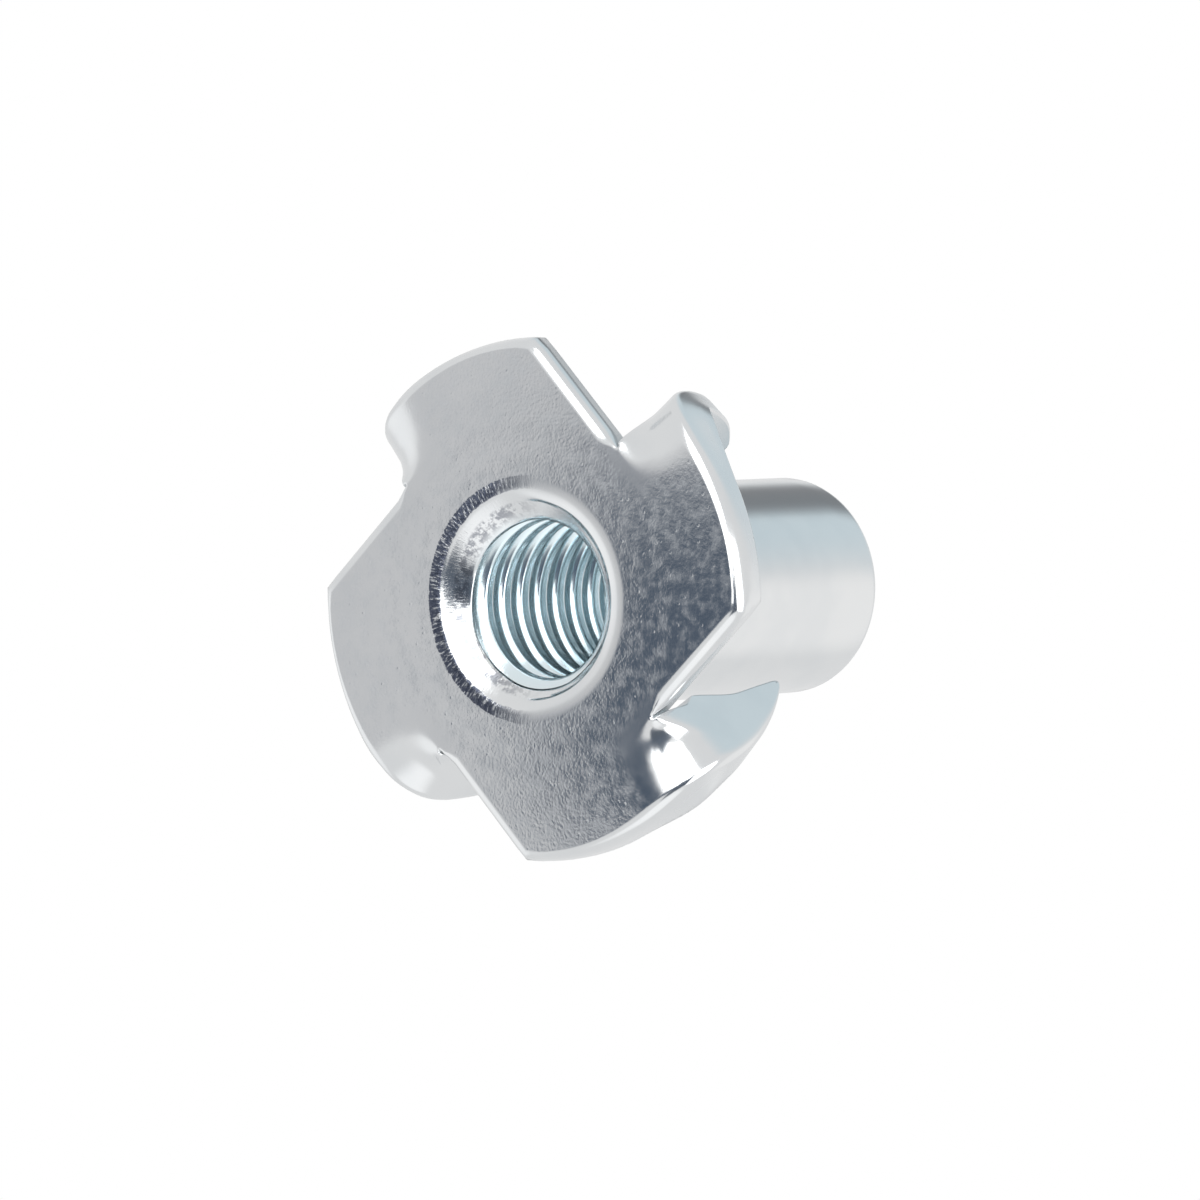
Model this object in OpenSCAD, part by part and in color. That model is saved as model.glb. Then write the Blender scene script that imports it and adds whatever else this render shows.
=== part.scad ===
// Four-prong tee nut, blanked, drawn and bent from one round of sheet steel.
// It stands on the outer face of its flange, at z = 0, with its barrel up.

/* [Flange] */
// Diameter of the round blank, which is also the reach of the lobes
flange_d = 22; // [21:0.5:26]
// Thickness of the sheet
sheet_t = 1.6; // [1.4:0.1:1.8]
// Radius that blanking rolls onto the edges of the outer face
edge_roll = 0.4; // [0.2:0.05:0.6]
// Distance of the sheared walls from the axis, at the outer face
shear_dist = 7.85; // [7.6:0.05:8.2]
// How far a sheared wall leans in toward the axis by the inner face
shear_lean = 0.35; // [0.1:0.05:0.5]

/* [Prongs] */
// How far each fold lies behind the radial line that it runs along
fold_back = 0.2; // [0:0.05:0.4]
// Angle through which each prong is bent back
prong_bend = 79; // [70:1:88]
// Inside radius of the bend
bend_inner_r = 0.5; // [0.3:0.1:0.8]
// Distance from the fold line to the place where the shear begins
shear_start = 1.35; // [1:0.05:1.5]
// Length of the flat blade of a prong, past its bend
blade_len = 5.5; // [4:0.1:5.7]
// Radius of the curved outer edge of a blade
blade_edge_r = 9.5; // [9:0.1:11]

/* [Barrel] */
// Height of the nut over all
nut_h = 19.2; // [12:0.1:24]
// Outer diameter of the barrel
barrel_d = 9.4; // [9.2:0.1:10.4]
// Radius of the hollow fillet between the flange and the barrel
root_r = 2.1; // [0.8:0.1:2.3]
// Radius on the outer edge of the barrel's open end
end_r = 0.6; // [0.3:0.1:0.9]

/* [Thread] */
// Minor diameter of the M8 thread, the size of the bore before tapping
bore_d = 6.8; // [6.6:0.05:7]
// Diameter of the entry cone at the outer face
entry_d = 10; // [9:0.1:10.6]
// Depth at which the entry cone meets the bore
entry_depth = 1.1; // [0.8:0.1:1.6]
// Radius that rounds the lip of the entry
lip_r = 1.2; // [0.4:0.1:1.6]
// Chamfer inside the open end
exit_chamfer = 0.4; // [0.2:0.1:0.6]

/* [Hidden] */
$fn = 96;
prong_count = 4;
first_fold = 45;
arc_steps = 6;
// Room that a cutter takes beyond what it cuts
clear = 2;
// Each stretch of a prong is drawn in by the seat and starts a little inside
// the stretch before it, so that flange, bend and blade are one solid
seat = 0.005;
seat_angle = 1.5;
seat_len = 0.05;
// How far the outer edge of a blade curves on from a point before the fold
edge_lead = 1.1;
// Reach of the dimple at the end of each shear, from the sheared wall inward
dimple_reach = 1;
flange_r = flange_d / 2;
barrel_r = barrel_d / 2;
bore_r = bore_d / 2;
entry_r = entry_d / 2;
bend_outer_r = bend_inner_r + sheet_t;
entry_slope = atan(entry_depth / (entry_r - bore_r));
lip_reach = lip_r * tan(entry_slope / 2);
edge_reach = sqrt(blade_edge_r * blade_edge_r - edge_lead * edge_lead);
shear_angle = asin(shear_start / bend_outer_r);

// Points of an arc about (cx, cy), from angle a0 to angle a1.
function arc(cx, cy, r, a0, a1) = [
    for (i = [0 : arc_steps])
        let (a = a0 + (a1 - a0) * i / arc_steps)
            [cx + r * cos(a), cy + r * sin(a)]
];

// Outer edge of the sheet at x = reach, from its square inner corner to its
// rolled outer corner. Depth is measured from the outer face.
function outer_edge(reach, inset = 0) = concat(
    [[reach - inset, sheet_t - inset]],
    arc(reach - inset - edge_roll, inset + edge_roll, edge_roll, 0, -90)
);

// Sheared edge at x = dist that faces the axis, in the other order.
function inner_edge(dist, inset = 0) = concat(
    arc(dist + inset + edge_roll, inset + edge_roll, edge_roll, -90, -180),
    [[dist + inset, sheet_t - inset]]
);

// Half section of flange and barrel, as [radius, height].
function nut_section() = concat(
    [[bore_r, entry_depth]],
    [[bore_r, nut_h - exit_chamfer]],
    [[bore_r + exit_chamfer, nut_h]],
    arc(barrel_r - end_r, nut_h - end_r, end_r, 90, 0),
    arc(barrel_r + root_r, sheet_t + root_r, root_r, 180, 270),
    outer_edge(flange_r),
    arc(entry_r + lip_reach, lip_r, lip_r, -90, -90 - entry_slope)
);

// What the dimple takes, as [distance from the bend's axis, x]: all beyond
// the skin of the bend, and less and less inward of the sheared wall.
function dimple_section() = [
    [bend_outer_r - seat * 2, flange_r],
    [bend_outer_r - seat * 2, shear_dist],
    [bend_outer_r - seat * 2 + dimple_reach, shear_dist - dimple_reach],
    [bend_outer_r + clear, shear_dist - dimple_reach],
    [bend_outer_r + clear, flange_r]
];

// Blank with its drawn barrel, before any prong is sheared.
module drawn_blank() {
    rotate_extrude()
        polygon(nut_section());
}

// Section of a sheared wall of the flange: rolled at the outer face, then
// leaning in toward the axis.
function wall_section() = concat(
    [[shear_dist - edge_roll, -clear]],
    arc(shear_dist - edge_roll, edge_roll, edge_roll, -90, 0),
    [[shear_dist - shear_lean, sheet_t]],
    [[shear_dist - shear_lean, sheet_t + clear]],
    [[flange_r + clear, sheet_t + clear]],
    [[flange_r + clear, -clear]]
);

// Space that a prong leaves in the flange, with the fold along +X and the
// shear toward -Y. Up to shear_start the flange still holds the bend, and
// the bend dies out in it as a dimple.
module prong_gap() {
    translate([shear_dist + edge_roll, -shear_start - clear, -clear])
        cube([flange_r, shear_start + clear, sheet_t + clear * 2]);
    about_bend(shear_angle)
        polygon(dimple_section());
    translate([0, -shear_start, 0])
        rotate([90, 0, 0])
            linear_extrude(flange_r)
                polygon(wall_section());
}

// Section that is [distance from the bend's axis, x], turned from the fold
// through an angle, about a line parallel to the fold.
module about_bend(angle, before = 0) {
    translate([0, 0, bend_outer_r])
        rotate([0, 90, 0])
            rotate([0, 0, -angle])
                rotate_extrude(angle = angle + before)
                    children();
}

// Bend of one prong.
module bend() {
    section = concat(outer_edge(flange_r, seat), inner_edge(shear_dist, seat));
    about_bend(prong_bend, seat_angle)
        polygon([for (p = section) [bend_outer_r - p[1], p[0]]]);
}

// Flat blade of one prong, along +Z from the end of the bend. A disc with a
// rolled rim trims it to its curved outer edge.
module blade() {
    inset = seat * 2;
    section = concat(
        [[flange_r + clear, sheet_t - inset], [flange_r + clear, inset]],
        inner_edge(shear_dist, inset)
    );
    intersection() {
        translate([0, 0, -seat_len])
            linear_extrude(seat_len + blade_len)
                polygon(section);
        translate([flange_r - edge_reach, 0, -edge_lead])
            rotate([-90, 0, 0])
                rotate_extrude()
                    polygon(concat(
                        [[0, 0], [0, sheet_t]],
                        outer_edge(blade_edge_r, inset)
                    ));
    }
}

module prong() {
    bend();
    translate([0, -bend_outer_r * sin(prong_bend), bend_outer_r * (1 - cos(prong_bend))])
        rotate([90 - prong_bend, 0, 0])
            blade();
}

module tee_nut() {
    color("lightsteelblue") {
        difference() {
            drawn_blank();
            for (i = [0 : prong_count - 1])
                rotate([0, 0, first_fold + i * 360 / prong_count])
                    translate([0, fold_back, 0])
                        prong_gap();
        }
        for (i = [0 : prong_count - 1])
            rotate([0, 0, first_fold + i * 360 / prong_count])
                translate([0, fold_back, 0])
                    prong();
    }
}

tee_nut();
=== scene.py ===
import bmesh
import bpy
import numpy as np
from mathutils import Matrix, Vector


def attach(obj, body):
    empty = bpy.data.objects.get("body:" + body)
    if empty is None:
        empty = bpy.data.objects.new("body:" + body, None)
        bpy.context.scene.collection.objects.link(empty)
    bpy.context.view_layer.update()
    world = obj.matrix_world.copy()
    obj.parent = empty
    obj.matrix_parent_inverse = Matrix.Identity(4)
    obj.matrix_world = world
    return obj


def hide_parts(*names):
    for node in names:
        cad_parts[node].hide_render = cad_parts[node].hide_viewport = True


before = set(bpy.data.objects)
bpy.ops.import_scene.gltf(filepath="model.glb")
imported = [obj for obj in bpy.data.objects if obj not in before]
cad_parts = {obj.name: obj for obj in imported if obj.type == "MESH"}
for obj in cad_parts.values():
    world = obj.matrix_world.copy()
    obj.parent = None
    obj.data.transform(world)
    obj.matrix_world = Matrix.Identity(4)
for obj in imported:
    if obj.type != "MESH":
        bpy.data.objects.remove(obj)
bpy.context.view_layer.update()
mm = 0.001
tau = 2 * np.pi
scene = bpy.context.scene
scene.view_settings.view_transform = "Standard"


# helpers for curves and grids of points, all in millimetres

def smoothStep(a):
    a = np.clip(a, 0, 1)
    return a * a * (3 - 2 * a)  # 0 to 1 with level ends


def ramp(a, low, high):
    return smoothStep((a - low) / (high - low))


def span(a, risesFrom, risesTo, fallsFrom, fallsTo):
    # 0, then up to 1 between the first two values, then back to 0 between the last two
    return ramp(a, risesFrom, risesTo) * (1 - ramp(a, fallsFrom, fallsTo))


def alongOf(line):
    # distance run along a polyline, at each of its points
    return np.concatenate([[0], np.cumsum(np.linalg.norm(np.diff(line[:, :2], axis=0), axis=1))])


def spaced(line, parts, grade=1.0):
    # the polyline again, at even distances; a grade above 1 crowds its start
    along = alongOf(line)
    want = along[-1] * np.linspace(0, 1, parts + 1) ** grade
    return np.stack([np.interp(want, along, line[:, k]) for k in range(line.shape[1])], 1)


def arcPoints(cx, cy, radius, a0, a1, points):
    # a circle's arc, in even turns from one angle to the other
    a = np.linspace(a0, a1, points)
    return np.stack([cx + radius * np.cos(a), cy + radius * np.sin(a)], 1)


def roundJoin(lineA, lineB, leg, points=24):
    # rounds the corner between two polylines with a parabola that starts one
    # leg before it; each half of the round stays with its own polyline
    backA = lineA[::-1]
    a, b = alongOf(backA), alongOf(lineB)
    startA = np.array([np.interp(leg, a, backA[:, k]) for k in (0, 1)])
    endB = np.array([np.interp(leg, b, lineB[:, k]) for k in (0, 1)])
    t = np.linspace(0, 1, 2 * points + 1)[:, None]
    curve = (1 - t) ** 2 * startA + 2 * t * (1 - t) * lineA[-1] + t * t * endB
    keepA = backA[a > leg * 1.02][::-1]
    keepB = lineB[b > leg * 1.02]
    return np.vstack([keepA, curve[:points + 1]]), np.vstack([curve[points:], keepB])


def leftNormals(line):
    # unit normals on the left of the way along a polyline
    d = np.gradient(line, axis=0)
    d /= np.linalg.norm(d, axis=1)[:, None]
    return np.stack([-d[:, 1], d[:, 0]], 1)


def unit(v):
    return v / np.linalg.norm(v, axis=-1, keepdims=True)


def coonsPatch(sideU0, sideU1, sideW0, sideW1):
    # surface inside four border curves: the straight join of one pair, plus
    # the straight join of the other pair, less the corners counted twice
    def share(a, b):
        la, lb = alongOf(a), alongOf(b)
        la = la / la[-1] if la[-1] > 1e-6 else lb / lb[-1]
        lb = lb / lb[-1] if lb[-1] > 1e-6 else la
        return (la + lb) / 2
    u = share(sideU0, sideU1)[:, None, None]
    w = share(sideW0, sideW1)[None, :, None]
    ruledU = (1 - w) * sideU0[:, None] + w * sideU1[:, None]
    ruledW = (1 - u) * sideW0[None] + u * sideW1[None]
    corners = ((1 - u) * (1 - w) * sideU0[0] + u * (1 - w) * sideU0[-1]
               + (1 - u) * w * sideU1[0] + u * w * sideU1[-1])
    return ruledU + ruledW - corners


def gridQuads(rows, columns, turn):
    # faces between neighbours of a grid of points; turn reverses their order
    i, j = np.meshgrid(np.arange(rows - 1), np.arange(columns - 1), indexing="ij")
    quad = np.stack([i * columns + j, (i + 1) * columns + j,
                     (i + 1) * columns + j + 1, i * columns + j + 1], -1).reshape(-1, 4)
    return quad[:, ::-1] if turn else quad


def turnAbout(points, degrees):
    # points turned about the nut's axis
    a = np.radians(degrees)
    turn = np.array([[np.cos(a), -np.sin(a), 0], [np.sin(a), np.cos(a), 0], [0, 0, 1]])
    return points @ turn.T


def weldedObject(name, grids):
    # one mesh of several grids of points in millimetres, welded where they meet
    points, faces, count = [], [], 0
    for grid, turn, worked, sheared in grids:
        points.append(grid.reshape(-1, 3))
        faces.append(gridQuads(grid.shape[0], grid.shape[1], turn) + count)
        count += len(points[-1])
    mesh = bpy.data.meshes.new(name)
    mesh.from_pydata(np.vstack(points) * mm, [], np.vstack(faces))
    for k, label in ((2, "worked"), (3, "sheared")):
        amount = [np.broadcast_to(grid[k], grid[0].shape[:2]).reshape(-1) for grid in grids]
        mesh.attributes.new(label, "FLOAT", "POINT").data.foreach_set("value", np.concatenate(amount))
    work = bmesh.new()
    work.from_mesh(mesh)
    bmesh.ops.remove_doubles(work, verts=work.verts, dist=1e-6)
    bmesh.ops.dissolve_degenerate(work, edges=work.edges, dist=1e-8)
    work.to_mesh(mesh)
    work.free()
    mesh.validate()
    mesh.shade_smooth()
    piece = bpy.data.objects.new(name, mesh)
    scene.collection.objects.link(piece)
    return piece


# the nut is one blank, sheared, folded and drawn

sheetMetal = {
    "blankRadius": 11.0, "sheet": 1.6, "edgeRoll": 0.5, "topEdge": 0.15, "support": 0.06,
    # shears: how far from the axis, and how their walls lean in
    "shearDist": 7.90, "shearLean": 0.28, "rimLean": 0.02, "slitWidth": 0.1, "slitStart": 1.71,
    "cornerReach": 1.5, "cornerLean": 1.4, "notchRoll": 0.12, "notchReach": 0.9,
    # folds: length and angle of the bend, its soft ends, and how it opens out toward the rim;
    # a span grows between its first two distances past the fold, and fades between the others
    "firstFold": 45.0, "foldBack": 0.27, "bendLength": 3.1, "bendAngle": 80.8,
    "bendCorner": 1.248, "bendEase": 0.7, "bendStop": 0.3, "bendGrow": 1.90, "growFrom": 7.80,
    "bendRoll": 0.36, "bendRollSpan": (-0.4, 0.6, 1.4, 3.0),
    "bulge": 0.36, "bulgeSpan": (-3.0, 0.4, 0.4, 5.0),
    "webFrom": 7.84, "webWidth": 1.63, "flangeFade": 2.38, "prongRise": 0.6,
    # prongs: reach, inner edge with its gusset as a share of the length, and tip
    "prongLength": 8.05, "prongLean": 0.34, "innerDrift": -0.45,
    "gusset": 0.6, "gussetSpan": (0, 0.19, 0.1, 0.6),
    "tipRoll": 0.14, "tipTaper": 3.0, "tipRounds": (0.45, 0.36),
    # rim of the lobes: narrower and deeper roll toward the sheared end, over a share of the rim
    "rimThin": 0.1, "rimDrop": 1.5, "rimSpan": (0.05, 0.70, 0.88, 1.0), "rimRound": 0.2,
}
barrel = {
    "height": 19.2, "radius": 4.7, "rootSlim": 0.10, "rootRadius": 2.1, "endRadius": 0.64,
    "pitch": 1.25, "minorRadius": 3.35, "majorRadius": 4.0, "exitChamfer": 0.45,
    "throatRadius": 4.14, "leadLength": 0.6, "hubRadius": 5.7, "lipRadius": 5.25,
    "threadTurn": 0.15, "rootFlat": 0.1, "flankWidth": 0.58,  # as shares of the pitch and of its half
    # lip as [radius, depth]: worn soft on one side, and a torn step and a cone on the other
    "softLip": [(5.25, 0.0), (5.0, 0.005), (4.74, 0.02), (4.5, 0.06), (4.34, 0.11), (4.25, 0.16),
                (4.19, 0.22), (4.16, 0.28), (4.14, 0.34)],
    "sharpLip": [(5.25, 0), (5.1, 0.005), (4.95, 0.012), (4.8, 0.025), (4.68, 0.05), (4.5, 0.14),
                 (4.34, 0.245), (4.22, 0.32), (4.15, 0.38)],
    "lipTurn": (-0.35, 0.25),
}
# how many cells each stretch of the mesh has
cells = {"rim": 18, "cut": 13, "turn": 5, "web": 7, "inner": 60, "across": 24, "radial": 16}


def foldAngle(s):
    # where the fold's line meets the rim
    return np.arcsin(s["foldBack"] / s["blankRadius"])


def blankOutline(s):
    # outline of one quarter of the flat blank, fold along +X and prong toward
    # -Y, as the rim, the sheared wall, the two halves of the turn at the end
    # of the shear, and the prong's inner edge, tip and outer edge
    radius, dist, back = s["blankRadius"], s["shearDist"], s["foldBack"]
    half = s["slitWidth"] / 2
    yEnd, yTip = back - s["slitStart"], back - s["prongLength"]
    fold = foldAngle(s)
    rim = arcPoints(0, 0, radius, fold - np.pi / 2, -np.arccos((dist - half) / radius), 200)
    cut = np.stack([np.full(120, dist - half), np.linspace(rim[-1, 1], yEnd, 120)], 1)
    rim, cut = roundJoin(rim, cut, s["rimRound"])
    turnIn = arcPoints(dist, yEnd, half, np.pi, np.pi / 2, 12)
    turnOut = arcPoints(dist, yEnd, half, np.pi / 2, 0, 12)
    y = np.linspace(yEnd, yTip, 200)
    past = (yEnd - y) / (yEnd - yTip)
    drift = s["innerDrift"] * smoothStep(past * 0.9) - s["gusset"] * span(past, *s["gussetSpan"])
    inner = np.stack([dist + half + drift, y], 1)
    tipAngle = np.arcsin(yTip / radius)
    tip = np.stack([np.linspace(inner[-1, 0], radius * np.cos(tipAngle), 40), np.full(40, yTip)], 1)
    outer = arcPoints(0, 0, radius, tipAngle, fold, 200)
    inner, tip = roundJoin(inner, tip, s["tipRounds"][0])
    tip, outer = roundJoin(tip, outer, s["tipRounds"][1])
    return rim, cut, turnIn, turnOut, inner, tip, outer


def foldedPoints(s, x, y, depth, lift):
    # folds the flat sheet: the middle of the sheet turns at an even rate with
    # soft ends, and a point keeps its depth along the sheet's own normal; the
    # bend opens out toward the rim, and where its flat sides would meet stays;
    # lift, from 0 to 1, is how far a point goes with the fold
    share = np.linspace(0, 1, 400)
    rate = np.minimum(1, np.minimum(share / s["bendEase"], (1 - share) / s["bendStop"]))
    step = lambda v: np.concatenate([[0], np.cumsum((v[1:] + v[:-1]) / 2)])
    angle = step(rate) / step(rate)[-1] * np.radians(s["bendAngle"])
    out, up = step(np.cos(angle)) * share[1], step(np.sin(angle)) * share[1]
    corner = out[-1] - up[-1] / np.tan(angle[-1])  # where the two flat sides would meet
    wider = s["bendGrow"] * ramp(x, s["growFrom"], s["blankRadius"])
    length = s["bendLength"] + wider
    start = s["bendCorner"] - corner * length
    along = s["foldBack"] - y - start
    part = along / length
    past = np.maximum(along - length, 0)
    a = np.interp(part, share, angle)
    middle = s["sheet"] / 2
    yFold = (s["foldBack"] - start - length * np.interp(part, share, out) - past * np.cos(angle[-1])
             + (depth - middle) * np.sin(a))
    zFold = (middle + length * np.interp(part, share, up) + past * np.sin(angle[-1])
             + (depth - middle) * np.cos(a))
    folded = along > 0
    yFold, zFold = np.where(folded, yFold, y), np.where(folded, zFold, depth)
    return np.stack([x + 0 * lift, y + lift * (yFold - y), depth + lift * (zFold - depth)], -1)


def liftOf(s, x, y, onProng):
    # the web next to the slit rises evenly from the flange to the prong; past
    # the end of the slit the flange falls back and the prong goes on up
    past = s["foldBack"] - s["slitStart"] - y
    web = smoothStep((x - s["webFrom"]) / s["webWidth"])
    flange = web * (1 - smoothStep(past / s["flangeFade"]))
    prong = web + (1 - web) * smoothStep(past / s["prongRise"])
    return np.where(onProng, prong, flange)


def shapedPoints(s, x, y, depth, onProng):
    # a quarter has its own fold, and next to its other end the start of the
    # bend of the fold before it, which lies a quarter turn back
    own = foldedPoints(s, x, y, depth, liftOf(s, x, y, onProng))
    before = foldedPoints(s, -y, x, depth, liftOf(s, -y, x, False))
    before = np.stack([before[..., 1], -before[..., 0], before[..., 2]], -1)
    return np.where((~onProng & (-y > x))[..., None], before, own)


def workedOf(s, x, y, onProng):
    # 1 where folding has stretched the sheet smooth, 0 on its plain faces
    def webOf(x, along):
        return ramp(x - s["shearDist"], -1.3, -0.1) * ramp(along, -1.1, -0.1)
    along = s["foldBack"] - y
    web = webOf(x, along)
    flange = np.maximum(web * (1 - ramp(along - s["slitStart"], 0, 1.4)),
                        webOf(-y, s["foldBack"] - x) * (-y > x))
    return np.where(onProng, web, flange)


def sampledLine(line, parts, grade=1.0):
    # a polyline at its steps, as [x, y, inward x, inward y]
    points = spaced(np.hstack([line, leftNormals(line)]), parts, grade)
    points[:, 2:] = unit(points[:, 2:])
    return points


def quarterBorders(s, n):
    # the outline's seven parts as points and inward directions, which agree where parts meet
    rim, cut, turnIn, turnOut, inner, tip, outer = blankOutline(s)
    back, half = s["foldBack"], s["slitWidth"] / 2
    yEnd, fold = back - s["slitStart"], foldAngle(s)
    rim = sampledLine(rim, n["rim"])
    cut = sampledLine(cut[::-1], n["cut"], 1.35)[::-1].copy()
    cut[:, 2:] *= -1
    turnIn, turnOut = sampledLine(turnIn, n["turn"]), sampledLine(turnOut, n["turn"])
    inner, tip = sampledLine(inner, n["inner"], 1.25), sampledLine(tip, n["across"])
    turnIn[0, 2:] = cut[-1, 2:] = (-1, 0)
    turnIn[-1, 2:] = turnOut[0, 2:] = (0, 1)
    turnOut[-1, 2:] = inner[0, 2:] = (1, 0)
    rim[-1, 2:] = cut[0, 2:] = unit(rim[-1, 2:] + cut[0, 2:])
    rim[0, 2:] = (-np.sin(fold), np.cos(fold))
    # the outer edge is cut up at the levels of the inner border
    reach = half + s["edgeRoll"] + s["support"]
    levels = np.concatenate([np.linspace(back, yEnd + reach, n["web"] + 1),
                             (yEnd + reach * turnOut[:, 3])[1:], inner[1:, 1]])
    edge = np.hstack([outer[::-1], -leftNormals(outer[::-1])])
    levels = back + (levels - back) * (edge[-1, 1] - back) / (levels[-1] - back)
    outer = np.stack([np.interp(-levels, -edge[:, 1], edge[:, k]) for k in range(4)], 1)
    outer[:, 2:] = unit(outer[:, 2:])
    outer[0] = (s["blankRadius"] * np.cos(fold), back, -np.cos(fold), -np.sin(fold))
    tip[-1, 2:] = outer[-1, 2:] = unit(tip[-1, 2:] + outer[-1, 2:])
    tip[-1, :2] = outer[-1, :2]
    tip[0, 2:] = inner[-1, 2:] = unit(tip[0, 2:] + inner[-1, 2:])
    return [rim, cut, turnIn, turnOut, inner, tip, outer[::-1]]


def rollsOf(s, path, at, pastFold, onEdge, onProng):
    # width and depth of the rolled corner at each point of the edge's path
    taper = smoothStep((path[:, 1] - s["foldBack"] + s["prongLength"]) / s["tipTaper"])
    roll = np.where(onProng, s["tipRoll"] + (s["edgeRoll"] - s["tipRoll"]) * taper, s["edgeRoll"])
    roll[at["inner"]:at["tip"]] = s["tipRoll"]
    roll = roll + (s["bendRoll"] - s["edgeRoll"]) * span(pastFold, *s["bendRollSpan"]) * onEdge
    run = alongOf(path)
    outward = span(run / run[at["cut"]], *s["rimSpan"])
    roll = roll - s["rimThin"] * outward
    fromNotch = np.abs(run - (run[at["turnIn"]] + run[at["inner"]]) / 2) - s["slitWidth"] / 2
    roll = roll + (s["notchRoll"] - roll) * (1 - smoothStep(fromNotch / s["notchReach"]))
    return roll, roll * (1 + s["rimDrop"] * outward)


def wallShiftOf(s, path, at, pastFold, onEdge):
    # how far the wall's far side is drawn in or out, in x and y, from its near side
    x, y, inward = path[:, 0], path[:, 1], path[:, 2:]
    shift = np.zeros_like(inward)
    corner = 1 - smoothStep(np.hypot(x - x[at["cut"]], y - y[at["cut"]]) / s["cornerReach"])
    wall, edge, rim = slice(at["cut"], at["inner"]), slice(at["inner"], at["tip"]), slice(0, at["cut"])
    shift[wall] = -s["shearLean"] * np.stack([np.ones_like(x), corner], 1)[wall]
    nearSlit = 1 - smoothStep((s["foldBack"] - s["slitStart"] - y[edge]) / 2)
    shift[edge, 0] = -s["prongLean"] - (s["shearLean"] - s["prongLean"]) * nearSlit
    run = alongOf(path)
    lean = s["rimLean"] * (1 - corner) * smoothStep(run / run[at["cut"]] * 5)
    sideways = s["cornerLean"] * s["shearLean"] * corner
    shift[rim] = np.stack([sideways * y - lean * x, -sideways * x - lean * y], 1)[rim] / s["blankRadius"]
    return shift - (s["bulge"] * span(pastFold, *s["bulgeSpan"]) * onEdge)[:, None] * inward


def edgeRings(s, borders, at):
    # x, y and depth, on the flat sheet, of the rings round its edge: one level with the
    # face, then rolled over, down the wall, round the far corner and level again
    path = np.vstack([part[:-1] for part in borders] + [borders[-1][-1:]])
    x, y, place = path[:, 0], path[:, 1], np.arange(len(path))
    onProng = place >= at["turnOut"]
    onEdge = (place <= at["cut"]) | (place >= at["outer"])
    rimAngle = np.arctan2(y, x) + np.pi / 2 - foldAngle(s)
    pastFold = np.where(onProng, s["foldBack"] - y, -s["blankRadius"] * rimAngle)
    roll, rollDepth = (a[:, None] for a in rollsOf(s, path, at, pastFold, onEdge, onProng))
    shift = wallShiftOf(s, path, at, pastFold, onEdge)
    topEdge, wallTop, none = s["topEdge"], s["sheet"] - s["topEdge"], 0 * roll
    rolled, turned = np.radians(np.linspace(0, 90, 6)), np.radians([30, 60, 90])
    down = np.array([0.33, 0.67, 1.0])
    inward = np.hstack([roll + s["support"], roll * (1 - np.sin(rolled)), none + 0 * down,
                        none + topEdge * (1 - np.cos(turned)), none + topEdge + s["support"]])
    depth = np.hstack([none, rollDepth * (1 - np.cos(rolled)), rollDepth + (wallTop - rollDepth) * down,
                       none + wallTop + topEdge * np.sin(turned), none + s["sheet"]])
    drawn = np.concatenate([np.zeros(7), down, np.ones(4)])
    x = x[:, None] + inward * path[:, 2:3] + drawn * shift[:, :1]
    y = y[:, None] + inward * path[:, 3:] + drawn * shift[:, 1:]
    return x, y, depth, np.broadcast_to(onProng[:, None], x.shape)


def facePatches(s, n, ring, at, hub):
    # one face of the sheet inside its ring: the middle as far as the shear, the lobe
    # beyond it and the prong; and the angles of the points on the hub
    foot, lastFoot = np.array([s["shearDist"], s["foldBack"]]), np.array([s["foldBack"], -s["shearDist"]])
    steps = lambda count: np.linspace(0, 1, count + 1)[:, None]
    chord = lastFoot + (ring[at["cut"]] - lastFoot) * steps(n["rim"])
    web = ring[at["turnOut"]] + (foot - ring[at["turnOut"]]) * steps(n["web"])
    border = np.vstack([chord, ring[at["cut"] + 1:at["turnOut"] + 1], web[1:]])
    angle = np.unwrap(np.arctan2(border[:, 1], border[:, 0]))
    centre = hub * np.stack([np.cos(angle), np.sin(angle)], 1)
    outward, across = steps(n["radial"]) ** 0.85, steps(n["across"])
    middle = coonsPatch(centre, border, centre[0] + (border[0] - centre[0]) * outward,
                        centre[-1] + (border[-1] - centre[-1]) * outward)
    lobe = coonsPatch(chord, ring[:n["rim"] + 1], lastFoot + (ring[0] - lastFoot) * across,
                      np.repeat(chord[-1:], n["across"] + 1, 0))
    innerSide = np.vstack([web[::-1], ring[at["turnOut"] + 1:at["tip"] + 1]])
    prong = coonsPatch(innerSide, ring[at["outer"]:][::-1], foot + (ring[-1] - foot) * across,
                       ring[at["tip"]:at["outer"] + 1])
    return middle, lobe, prong, angle


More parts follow.
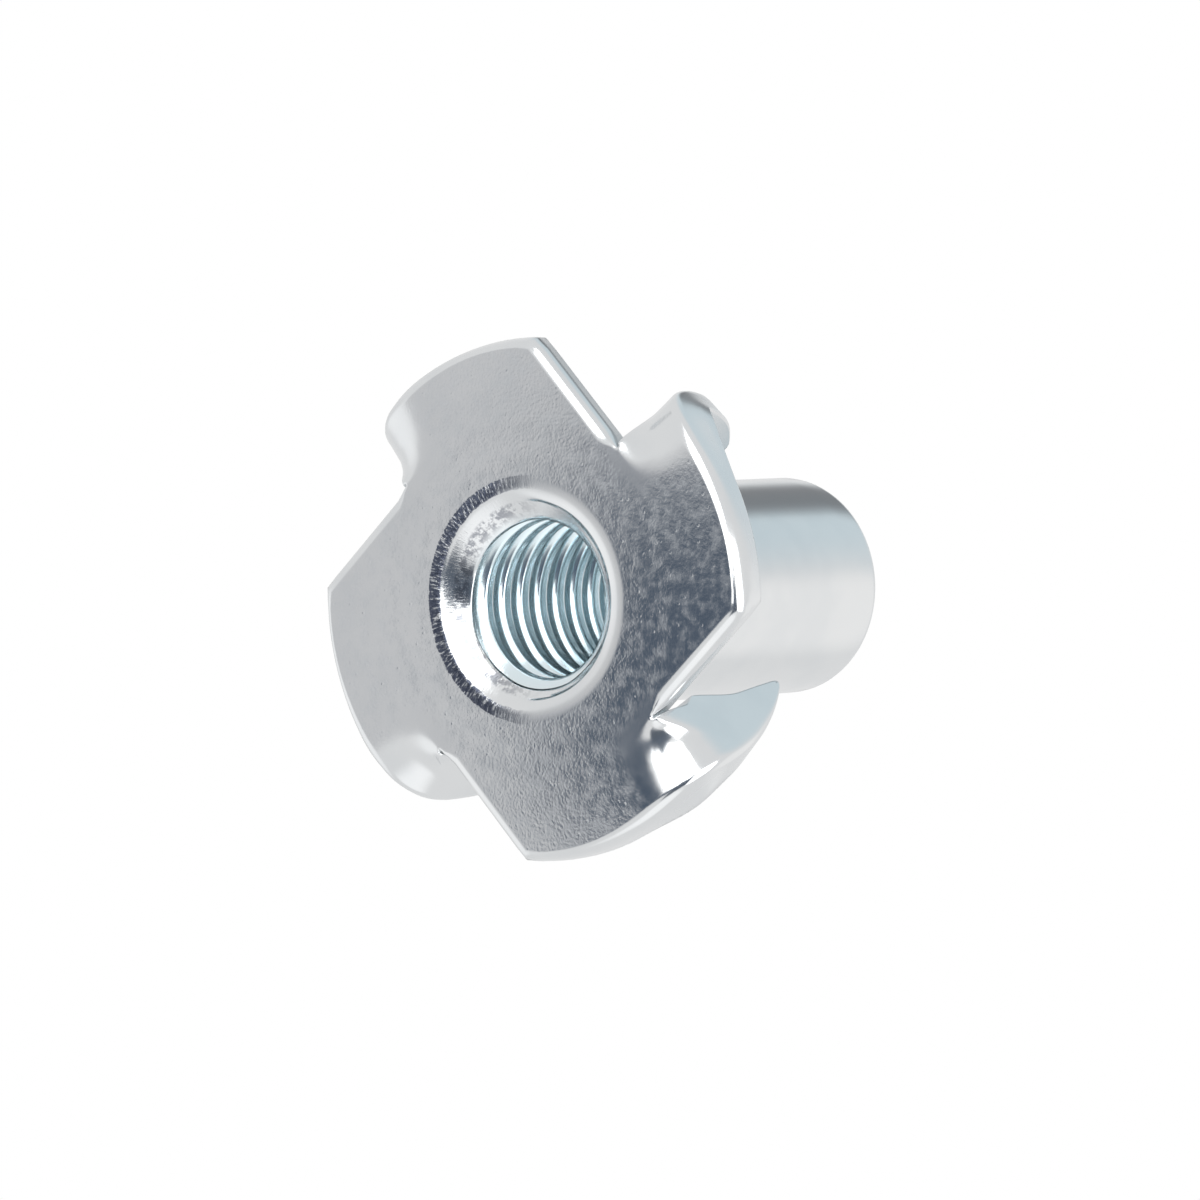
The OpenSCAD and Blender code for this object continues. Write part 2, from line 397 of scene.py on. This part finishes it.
def quarterOfSheet(s, b, n):
    # a quarter of the sheet as grids of (points, turn, worked, sheared)
    borders = quarterBorders(s, n)
    names = ("rim", "cut", "turnIn", "turnOut", "inner", "tip", "outer")
    at = dict(zip(names, np.cumsum([0] + [len(part) - 1 for part in borders])))
    x, y, depth, onProng = edgeRings(s, borders, at)
    worked = np.maximum(workedOf(s, x, y, onProng), [0.35] + [1.0] * 13)
    sheared = np.array([[0.0] * 6 + [0.6] + [1.0] * 3 + [0.6, 0.3, 0.0, 0.0]])
    grids = [(shapedPoints(s, x, y, depth, onProng), False, worked, sheared)]
    angles = []
    for top, level, hub in ((False, 0.0, b["hubRadius"]), (True, s["sheet"], b["radius"] + b["rootRadius"])):
        ring = np.stack([x, y], -1)[:, -1 if top else 0]
        middle, lobe, prong, angle = facePatches(s, n, ring, at, hub)
        angles.append(angle)
        for patch, prongSide, turn in ((middle, False, top), (lobe, False, top), (prong, True, not top)):
            px, py = patch[..., 0], patch[..., 1]
            side = np.full(px.shape, prongSide)
            grids.append((shapedPoints(s, px, py, np.full(px.shape, level), side), turn,
                          workedOf(s, px, py, side), 0.0))
    return grids, angles[0], angles[1]


def threadRadius(b, theta, z):
    # helical groove that climbs one pitch in each turn: a level crest and root, joined
    # by flanks that are half straight and half eased
    phase = (z / b["pitch"] - theta / tau + b["threadTurn"]) % 1.0
    off = np.abs(phase - 0.5) * 2
    flank = np.clip((off - b["rootFlat"]) / b["flankWidth"], 0, 1)
    flank = 0.5 * flank + 0.5 * smoothStep(flank)
    return b["majorRadius"] + (b["minorRadius"] - b["majorRadius"]) * flank


def lipProfile(b, theta):
    # radius and depth of the lip at each of its rings, and at each angle
    soft, sharp = (np.array(b[key])[:, :, None] for key in ("softLip", "sharpLip"))
    worn = ramp(np.sin(theta), *b["lipTurn"])
    return np.moveaxis(sharp + (soft - sharp) * worn, 1, 0)


def boreRadius(b, z, start):
    # bore without its thread: throat, lead-in, plain bore, end chamfer
    lead = np.clip((z - start) / b["leadLength"], 0, 1)
    chamfer = np.maximum(0, z - b["height"] + b["exitChamfer"])
    return b["throatRadius"] + (b["minorRadius"] - b["throatRadius"]) * lead + chamfer


def ringsAbout(radius, angle, height):
    # points at a radius, an angle and a height about the axis
    return np.stack([radius * np.cos(angle), radius * np.sin(angle), height + 0 * angle], -1)


def turnedSurfaces(s, b, faceAngles, topAngles):
    # bore, lip and barrel, each a radius and a height over the angles at which the faces end
    whole = lambda a: np.concatenate([a[:-1] + k * tau / 4 for k in range(4)] + [[a[0] + tau]])
    low, high = whole(faceAngles), whole(topAngles)
    lipRadius, lipDepth = lipProfile(b, low + np.radians(s["firstFold"]))
    start, end, pitch = lipDepth[-1], b["height"], b["pitch"]
    # thread: the groove's section carried up a helix, kept between the ends
    off = np.array([0, .05, .08, .14, .20, .27, .34])  # steps from the root to the crest
    phases = np.concatenate([[0, .09], 0.5 - off[::-1], 0.5 + off[1:], [.91]])
    turns = int(end / pitch) + 3
    rows = (np.arange(turns)[:, None] + phases[None] - b["threadTurn"]).reshape(-1) * pitch - pitch
    z = np.clip(rows[:, None] + pitch * low[None] / tau, start, end)
    radius = np.maximum(boreRadius(b, z, start), threadRadius(b, low[None], z))
    grids = [(ringsAbout(radius, low[None] + 0 * z, z), False)]
    # lip, from the face into the throat
    throat = np.maximum(boreRadius(b, start, start), threadRadius(b, low, start))
    flat = np.repeat([[b["hubRadius"]], [b["lipRadius"] + s["support"]]], len(low), 1)
    radius = np.vstack([flat, np.maximum(lipRadius[:-1], throat), throat[None]])
    z = np.vstack([np.zeros((2, len(low))), lipDepth])
    grids.append((ringsAbout(radius, low[None] + 0 * z, z), False))
    # end, barrel and root, as [radius, height]
    outside, endR, root = b["radius"], b["endRadius"], b["rootRadius"]
    a = np.radians(np.linspace(0, 90, 8))
    profile = np.vstack([
        np.stack([outside - endR + endR * np.sin(a), end - endR + endR * np.cos(a)], 1),
        np.stack([np.full(13, outside), np.linspace(end - endR, s["sheet"] + root, 14)[1:]], 1),
        np.stack([outside + root - root * np.cos(a[1:]), s["sheet"] + root - root * np.sin(a[1:])], 1)])
    rim = np.maximum(boreRadius(b, end, start), threadRadius(b, low, end))
    radius = np.vstack([rim[None], np.repeat(profile[:, :1], len(low), 1)])
    z = np.vstack([np.full((1, len(low)), end), np.repeat(profile[:, 1:], len(low), 1)])
    slim = b["rootSlim"] * (1 - ramp(profile[:, 1], 3, end - 3))
    radius[1:] -= (slim * smoothStep((profile[:, 1] - s["sheet"]) / root))[:, None]
    blend = np.concatenate([[0], np.linspace(0, 1, len(profile))])[:, None]
    grids.append((ringsAbout(radius, low * (1 - blend) + high * blend, z), False))
    return grids


quarterGrids, faceAngles, topAngles = quarterOfSheet(sheetMetal, barrel, cells)
nutGrids = [(turnAbout(grid, sheetMetal["firstFold"] + 90 * k), turn, worked, sheared)
            for k in range(4) for grid, turn, worked, sheared in quarterGrids]
nutGrids += [(turnAbout(grid, sheetMetal["firstFold"]), turn, 0.0, 0.0)
             for grid, turn in turnedSurfaces(sheetMetal, barrel, faceAngles, topAngles)]
nutPiece = weldedObject("zincNut", nutGrids)
print("nut", len(nutPiece.data.polygons), "faces")


# helpers for shader nodes

def makeNode(tree, kind, **values):
    # a node with its input values and settings; a link goes in where a socket is given
    node = tree.nodes.new(kind)
    for key, value in values.items():
        if key[:2] == "in" and key[2:].isdigit():
            socket = node.inputs[int(key[2:])]
        elif key in node.inputs:
            socket = node.inputs[key]
        else:
            setattr(node, key, value)
            continue
        if isinstance(value, bpy.types.NodeSocket):
            tree.links.new(value, socket)
        else:
            socket.default_value = value
    return node


def mathOf(tree, operation, a, b=0.0, c=0.0):
    return makeNode(tree, "ShaderNodeMath", operation=operation, in0=a, in1=b, in2=c).outputs[0]


def rampOf(tree, value, low, high, toLow=0.0, toHigh=1.0):
    # value taken from low..high to toLow..toHigh, with soft ends
    node = makeNode(tree, "ShaderNodeMapRange", interpolation_type="SMOOTHSTEP", in0=value,
                    in1=low, in2=high, in3=toLow, in4=toHigh)
    return node.outputs[0]


def productOf(tree, first, *others):
    for other in others:
        first = mathOf(tree, "MULTIPLY", first, other)
    return first


def bandOf(tree, value, risesFrom, risesTo, fallsFrom, fallsTo):
    # span() as nodes
    return productOf(tree, rampOf(tree, value, risesFrom, risesTo),
                     rampOf(tree, value, fallsFrom, fallsTo, 1.0, 0.0))


def vectorOf(tree, operation, a, b=(0, 0, 0)):
    return makeNode(tree, "ShaderNodeVectorMath", operation=operation, in0=a, in1=b).outputs[0]


def scaledVector(tree, vector, factor):
    return makeNode(tree, "ShaderNodeVectorMath", operation="SCALE", in0=vector, Scale=factor).outputs[0]


def mixedColour(tree, factor, a, b, blend="MIX"):
    node = makeNode(tree, "ShaderNodeMix", data_type="RGBA", blend_type=blend, Factor=factor, in6=a, in7=b)
    return node.outputs[2]


def noiseOf(tree, place, scale, detail=2.0, roughness=0.5):
    node = makeNode(tree, "ShaderNodeTexNoise", Vector=place, Scale=scale, Detail=detail,
                    Roughness=roughness)
    return node.outputs["Fac"]


def newGroup(name, inputs, outputs):
    # an empty group with its sockets, each as (name, kind, default)
    group = bpy.data.node_groups.new(name, "ShaderNodeTree")
    for side, sockets in (("INPUT", inputs), ("OUTPUT", outputs)):
        for label, kind, default in sockets:
            socket = group.interface.new_socket(label, in_out=side, socket_type="NodeSocket" + kind)
            if default is not None:
                socket.default_value = default
    return group, group.nodes.new("NodeGroupInput"), group.nodes.new("NodeGroupOutput")


def useGroup(tree, group, **values):
    node = tree.nodes.new("ShaderNodeGroup")
    node.node_tree = group
    for key, value in values.items():
        socket = node.inputs[key]
        if isinstance(value, bpy.types.NodeSocket):
            tree.links.new(value, socket)
        else:
            socket.default_value = value
    return node


def rolledGrainGroup():
    # skin of rolled and plated sheet: pits and pimples, with wider blotches
    group, given, result = newGroup(
        "rolledGrain", [("Place", "Vector", None), ("Fine", "Float", 6.0), ("Blotch", "Float", 2.0)],
        [("Height", "Float", None), ("Blotches", "Float", None)])
    place = given.outputs["Place"]
    scaleFine, scaleBlotch = given.outputs["Fine"], given.outputs["Blotch"]
    fine = noiseOf(group, place, scaleFine, 2.0, 0.5)
    wide = noiseOf(group, place, scaleBlotch, 1.5, 0.5)
    pits = makeNode(group, "ShaderNodeTexVoronoi", Vector=place, Scale=scaleBlotch, Randomness=1.0).outputs[0]
    pit = rampOf(group, pits, 0.06, 0.16, -0.5, 0.0)
    height = mathOf(group, "MULTIPLY_ADD", wide, 0.35, mathOf(group, "SUBTRACT", fine, 0.68))
    group.links.new(mathOf(group, "ADD", height, pit), result.inputs["Height"])
    mottle = mathOf(group, "MULTIPLY_ADD", noiseOf(group, place, scaleFine, 1.0, 0.5), 0.3, wide)
    group.links.new(rampOf(group, mottle, 0.50, 0.88), result.inputs["Blotches"])
    return group


def glowPatchGroup():
    # how much of a round patch is seen in a direction, from 0 outside to 1 inside
    group, given, result = newGroup(
        "glowPatch", [("Direction", "Vector", None), ("Centre", "Vector", (0, 0, -1)),
                      ("Inner", "Float", 0.9), ("Outer", "Float", 0.7)], [("Amount", "Float", None)])
    dot = makeNode(group, "ShaderNodeVectorMath", operation="DOT_PRODUCT",
                   in0=given.outputs["Direction"], in1=given.outputs["Centre"]).outputs["Value"]
    amount = rampOf(group, dot, given.outputs["Outer"], given.outputs["Inner"])
    group.links.new(amount, result.inputs["Amount"])
    return group


grainGroup, patchGroup = rolledGrainGroup(), glowPatchGroup()


zinc = {
    "pale": (0.80, 0.815, 0.825, 1), "dull": (0.72, 0.745, 0.765, 1), "boreReflectionTint": (0.80, 0.91, 0.95, 1),
    "roughness": 0.13, "faceRoughness": 0.08, "blotchRoughness": 0.11, "shearedRoughness": 0.12,
    # grain of the plated sheet, and the wide rings that drawing leaves on its face
    "fineScale": 7.0, "blotchScale": 1.9, "faceRelief": 0.42, "softRelief": 0.05, "reliefDepth": 0.000012,
    "wave": 0.2, "waveLength": 1.55,
    # round the entry, only where the lip is sharp, which ends between two values of y: a ring
    # in relief and painted dark as shade between scratches, a scratched cone in relief, and a band
    # painted dark as shade; the first two as spans of radius and the last of height
    "sharpSide": (-2.2, 0.6), "paintedShadeDark": (0.06, 0.075, 0.12, 1), "scratchScale": 8.0,
    "ringSpan": (4.63, 4.69, 5.20, 5.24), "ringRelief": 3.0,
    "coneSpan": (3.5, 3.9, 4.6, 4.9), "coneRelief": 0.7,
    "paintedShadeBandSpan": (0.3, 0.42, 0.6, 0.9), "paintedShadeBand": 0.6,
}


def zincMaterial(z):
    material = bpy.data.materials.new("zincPlate")
    material.use_nodes = True
    tree = material.node_tree
    shader = tree.nodes["Principled BSDF"]
    place = scaledVector(tree, makeNode(tree, "ShaderNodeTexCoord").outputs["Object"], 1 / mm)
    split = makeNode(tree, "ShaderNodeSeparateXYZ", in0=place)
    height = split.outputs["Z"]
    flat = vectorOf(tree, "MULTIPLY", place, (1, 1, 0))
    radius = makeNode(tree, "ShaderNodeVectorMath", operation="LENGTH", in0=flat).outputs["Value"]
    worked = makeNode(tree, "ShaderNodeAttribute", attribute_name="worked").outputs["Fac"]
    sheared = makeNode(tree, "ShaderNodeAttribute", attribute_name="sheared").outputs["Fac"]

    # noise for scratches drawn inward over the lip: it hardly changes along a radius
    spoke = scaledVector(tree, vectorOf(tree, "NORMALIZE", flat), 4.7)
    spoke = vectorOf(tree, "ADD", spoke, scaledVector(tree, flat, 0.28))
    scratch = noiseOf(tree, spoke, z["scratchScale"], 3.0, 0.65)
    jitter = noiseOf(tree, place, 2.6, 3.0, 0.7)
    cloud = noiseOf(tree, place, 0.35, 3.0, 0.55)
    grain = useGroup(tree, grainGroup, Place=place, Fine=z["fineScale"], Blotch=z["blotchScale"])
    blotches = grain.outputs["Blotches"]

    # where: the flange's two faces, less its bends and edges, and the parts of the entry
    onFace = productOf(tree, rampOf(tree, height, 1.75, 1.9, 1.0, 0.0), rampOf(tree, radius, 5.0, 5.2),
                       mathOf(tree, "SUBTRACT", 1.0, worked))
    sharpSide = rampOf(tree, split.outputs["Y"], *z["sharpSide"], 1.0, 0.0)
    ragged = mathOf(tree, "ADD", radius, mathOf(tree, "MULTIPLY_ADD", jitter, 0.16, -0.08))
    ring = productOf(tree, bandOf(tree, ragged, *z["ringSpan"]), sharpSide,
                     rampOf(tree, height, 0.5, 0.6, 1.0, 0.0))
    cone = productOf(tree, bandOf(tree, radius, *z["coneSpan"]), rampOf(tree, height, 0.02, 0.2), sharpSide)
    # a band low in the entry, painted dark as shade on the sharp side only
    paintedShadeBand = productOf(tree, bandOf(tree, height, *z["paintedShadeBandSpan"]), rampOf(tree, radius, 4.25, 4.35, 1.0, 0.0),
                      sharpSide, rampOf(tree, jitter, 0.42, 0.58), z["paintedShadeBand"])
    # where the bore gets its painted reflection: the pale cyan that its threads would mirror
    boreReflectionMask = productOf(tree, rampOf(tree, radius, 3.9, 4.1, 1.0, 0.0), rampOf(tree, height, 0.6, 1.4))

    # colour
    dullness = rampOf(tree, cloud, 0.35, 0.7, 0.0, 0.45)
    tone = mathOf(tree, "MULTIPLY_ADD", productOf(tree, blotches, onFace), 0.35, dullness)
    colour = mixedColour(tree, tone, z["pale"], z["dull"])
    # painted reflection: the bore and its threads tinted pale cyan
    colour = mixedColour(tree, boreReflectionMask, colour, z["boreReflectionTint"])
    # painted shade: the ring dark where the scratches leave it, and the band, both on one side of the entry
    ringPaintedShade = productOf(tree, ring, rampOf(tree, scratch, 0.50, 0.66, 0.95, 0.1))
    colour = mixedColour(tree, ringPaintedShade, colour, z["paintedShadeDark"])
    colour = mixedColour(tree, paintedShadeBand, colour, z["paintedShadeDark"])
    tree.links.new(colour, shader.inputs["Base Color"])
    shader.inputs["Metallic"].default_value = 1.0

    # roughness
    faceRough = mathOf(tree, "MULTIPLY_ADD", blotches, z["blotchRoughness"], z["faceRoughness"])
    rough = makeNode(tree, "ShaderNodeMix", data_type="FLOAT", Factor=onFace,
                     in2=z["roughness"], in3=faceRough).outputs[0]
    rough = mathOf(tree, "MULTIPLY_ADD", sheared, z["shearedRoughness"], rough)
    tree.links.new(mathOf(tree, "MULTIPLY_ADD", cloud, 0.05, rough), shader.inputs["Roughness"])

    # relief
    relief = makeNode(tree, "ShaderNodeMix", data_type="FLOAT", Factor=onFace,
                      in2=z["softRelief"], in3=z["faceRelief"]).outputs[0]
    swayed = mathOf(tree, "MULTIPLY_ADD", noiseOf(tree, place, 0.9, 2.0), 1.1, radius)
    wave = mathOf(tree, "SINE", mathOf(tree, "MULTIPLY", swayed, float(tau / z["waveLength"])))
    wave = productOf(tree, wave, onFace, rampOf(tree, radius, 6.5, 10.0, z["wave"], 0.0))
    tornRelief = mathOf(tree, "MULTIPLY_ADD", cone, z["coneRelief"], productOf(tree, ring, z["ringRelief"]))
    tornRelief = productOf(tree, mathOf(tree, "SUBTRACT", scratch, 0.5), tornRelief)
    waveAndTorn = mathOf(tree, "ADD", wave, tornRelief)
    total = mathOf(tree, "MULTIPLY_ADD", grain.outputs["Height"], relief, waveAndTorn)
    bump = makeNode(tree, "ShaderNodeBump", Strength=1.0, Distance=z["reliefDepth"], Height=total)
    tree.links.new(bump.outputs[0], shader.inputs["Normal"])
    return material


nutPiece.data.materials.append(zincMaterial(zinc))
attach(nutPiece, "root")
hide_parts("tee_nut")
print("materials done")


studio = {
    # places and sizes in millimetres
    "floorDrop": 0.03, "floorSize": 3000.0, "floorColour": (0.86, 0.86, 0.85, 1),
    "worldColour": (0.9, 0.91, 0.93, 1), "worldStrength": 0.9,
    "tentRadius": 300.0, "tentGlow": (0.82, 0.82, 0.82, 1),
    "tentPatches": [
        # direction, angles where a patch is full and where it ends, how it tints the tent
        ((-0.05, -0.6, -0.8), 6, 18, (0.78, 0.78, 0.79, 1)),
        ((-0.34, -0.88, -0.32), 12, 30, (1.25, 1.25, 1.25, 1)),
        ((-0.83, 0.19, -0.52), 14, 34, (1.35, 1.35, 1.35, 1)),
        ((-0.28, 0.52, 0.81), 14, 30, (1.17, 1.16, 1.15, 1)),
        ((0.7, 0.1, 0.7), 12, 48, (0.80, 0.91, 0.96, 1)),
        ((0.54, -0.23, 0.81), 6, 21, (0.35, 0.33, 0.33, 1)),
    ],
    "cards": [
        # name, place, half size, how wide each edge fades (low x, high x, low y, high y), glow
        ("flag", (-11.5, 22, -55), (6.5, 50), (4, 3, 6, 5), (0.08, 0.105, 0.145, 1)),
        ("flagSide", (-3, 44.5, -54.8), (12, 27.5), (4, 4, 6, 5), (0.08, 0.105, 0.145, 1)),
        ("flagLow", (-3, -25, -55.5), (15, 19), (4, 15, 6, 5), (0.08, 0.105, 0.145, 1)),
        ("flagTop", (-19, 40, -56), (18, 32), (6, 3, 6, 6), (0.08, 0.10, 0.13, 1)),
    ],
    "lamps": [
        # name, place, aim, size across, radiance
        ("key", (34, 22, -76), (0, 4, 5), 92, 1.9),
        ("rimLight", (-10, 190, -45), (0, 0, 0), 180, 1.7),
    ],
}


def squareMesh(name, halfX, halfY, z=0.0):
    # one level face about the axis
    mesh = bpy.data.meshes.new(name)
    corners = [(-halfX, -halfY), (halfX, -halfY), (halfX, halfY), (-halfX, halfY)]
    mesh.from_pydata([(x * mm, y * mm, z * mm) for x, y in corners], [], [(0, 1, 2, 3)])
    return mesh


def stagePiece(name, mesh, place=(0, 0, 0)):
    # an object of the stage, and its material's empty tree
    piece = bpy.data.objects.new(name, mesh)
    piece.location = [c * mm for c in place]
    scene.collection.objects.link(piece)
    material = bpy.data.materials.new(name)
    material.use_nodes = True
    material.node_tree.nodes.clear()
    mesh.materials.append(material)
    return piece, material.node_tree


def onlyMirrored(piece):
    piece.visible_camera = piece.visible_diffuse = piece.visible_shadow = False


def glowCard(name, spot, half, soft, colour):
    # a card with a plain glow and soft edges, seen only in the metal
    card, tree = stagePiece(name, squareMesh(name, *half), spot)
    onlyMirrored(card)
    place = makeNode(tree, "ShaderNodeTexCoord").outputs["Object"]
    split = makeNode(tree, "ShaderNodeSeparateXYZ", in0=place)
    cover = 1.0
    for axis, reach in enumerate(half):
        low, high = reach - soft[2 * axis], reach - soft[2 * axis + 1]
        edges = bandOf(tree, split.outputs[axis], -reach * mm, -low * mm, high * mm, reach * mm)
        cover = productOf(tree, edges, cover)
    glow = makeNode(tree, "ShaderNodeEmission", Color=colour, Strength=1.0)
    clear = makeNode(tree, "ShaderNodeBsdfTransparent")
    mix = makeNode(tree, "ShaderNodeMixShader", in0=cover, in1=clear.outputs[0], in2=glow.outputs[0])
    makeNode(tree, "ShaderNodeOutputMaterial", Surface=mix.outputs[0])


def lightTent(s):
    # a ball of soft light round the nut, seen only in the metal
    mesh = bpy.data.meshes.new("tent")
    work = bmesh.new()
    bmesh.ops.create_uvsphere(work, u_segments=48, v_segments=24, radius=s["tentRadius"] * mm)
    work.to_mesh(mesh)
    work.free()
    mesh.shade_smooth()
    tent, tree = stagePiece("tent", mesh)
    onlyMirrored(tent)
    toward = vectorOf(tree, "NORMALIZE", makeNode(tree, "ShaderNodeTexCoord").outputs["Object"])
    light = makeNode(tree, "ShaderNodeRGB").outputs[0]
    light.default_value = s["tentGlow"]
    for centre, inner, outer, tint in s["tentPatches"]:
        patch = useGroup(tree, patchGroup, Direction=toward, Centre=tuple(unit(np.array(centre, float))),
                         Inner=float(np.cos(np.radians(inner))), Outer=float(np.cos(np.radians(outer))))
        light = mixedColour(tree, patch.outputs[0], light, tint, "MULTIPLY")
    glow = makeNode(tree, "ShaderNodeEmission", Color=light, Strength=1.0)
    makeNode(tree, "ShaderNodeOutputMaterial", Surface=glow.outputs[0])


def squareLamp(name, place, aim, across, radiance):
    # a lamp of a given radiance, whatever its size
    data = bpy.data.lights.new(name, "AREA")
    data.size = across * mm
    data.energy = radiance * np.pi * (across * mm) ** 2
    lamp = bpy.data.objects.new(name, data)
    lamp.location = [c * mm for c in place]
    lamp.rotation_euler = (Vector(aim) - Vector(place)).to_track_quat("-Z", "Y").to_euler()
    lamp.visible_camera = False
    scene.collection.objects.link(lamp)


def paleFloor(s):
    # seen only from above, so that it hides nothing from below
    half = s["floorSize"] / 2
    floor, tree = stagePiece("floor", squareMesh("floor", half, half, -s["floorDrop"]))
    floor.visible_diffuse = floor.visible_glossy = False
    floor.visible_transmission = floor.visible_shadow = False
    diffuse = makeNode(tree, "ShaderNodeBsdfDiffuse", Color=s["floorColour"])
    clear = makeNode(tree, "ShaderNodeBsdfTransparent")
    behind = makeNode(tree, "ShaderNodeNewGeometry").outputs["Backfacing"]
    mix = makeNode(tree, "ShaderNodeMixShader", in0=behind, in1=diffuse.outputs[0], in2=clear.outputs[0])
    makeNode(tree, "ShaderNodeOutputMaterial", Surface=mix.outputs[0])


def studioWorld(s):
    # white where it is seen or mirrored, a little less where it lights the floor
    world = bpy.data.worlds.new("studio")
    scene.world = world
    world.use_nodes = True
    tree = world.node_tree
    tree.nodes.clear()
    path = makeNode(tree, "ShaderNodeLightPath").outputs
    mirrored = mathOf(tree, "MAXIMUM", path["Is Glossy Ray"], path["Is Transmission Ray"])
    seen = mathOf(tree, "MAXIMUM", path["Is Camera Ray"], mirrored)
    white = makeNode(tree, "ShaderNodeBackground", Color=(1, 1, 1, 1), Strength=1.0)
    lit = makeNode(tree, "ShaderNodeBackground", Color=s["worldColour"], Strength=s["worldStrength"])
    mix = makeNode(tree, "ShaderNodeMixShader", in0=seen, in1=lit.outputs[0], in2=white.outputs[0])
    makeNode(tree, "ShaderNodeOutputWorld", Surface=mix.outputs[0])


paleFloor(studio)
for cardValues in studio["cards"]:
    glowCard(*cardValues)
lightTent(studio)
for lampValues in studio["lamps"]:
    squareLamp(*lampValues)
studioWorld(studio)
print("studio done")

view = {
    "azimuth": -95.06, "elevation": 53.08, "roll": 86.69,  # of the line of sight, in degrees
    "distance": 335.08, "aim": (-0.366, -2.144, 7.971), "lens": 234.67,
}


def sightCamera(v):
    # looks at the aim from a distance along the line of sight, with the picture rolled
    az, el, roll = np.radians([v["azimuth"], v["elevation"], v["roll"]])
    ahead = np.array([np.cos(el) * np.cos(az), np.cos(el) * np.sin(az), np.sin(el)])
    side = unit(np.cross(ahead, (0, 0, 1)))
    level = np.cross(side, ahead)
    right = np.cos(roll) * side + np.sin(roll) * level
    up = np.cos(roll) * level - np.sin(roll) * side
    place = (np.array(v["aim"]) - v["distance"] * ahead) * mm
    data = bpy.data.cameras.new("sight")
    data.lens, data.sensor_width = v["lens"], 36
    data.clip_start, data.clip_end = 0.01, 20
    camera = bpy.data.objects.new("sight", data)
    scene.collection.objects.link(camera)
    camera.matrix_world = Matrix([[right[i], up[i], -ahead[i], place[i]] for i in range(3)] + [[0, 0, 0, 1]])
    scene.camera = camera


sightCamera(view)
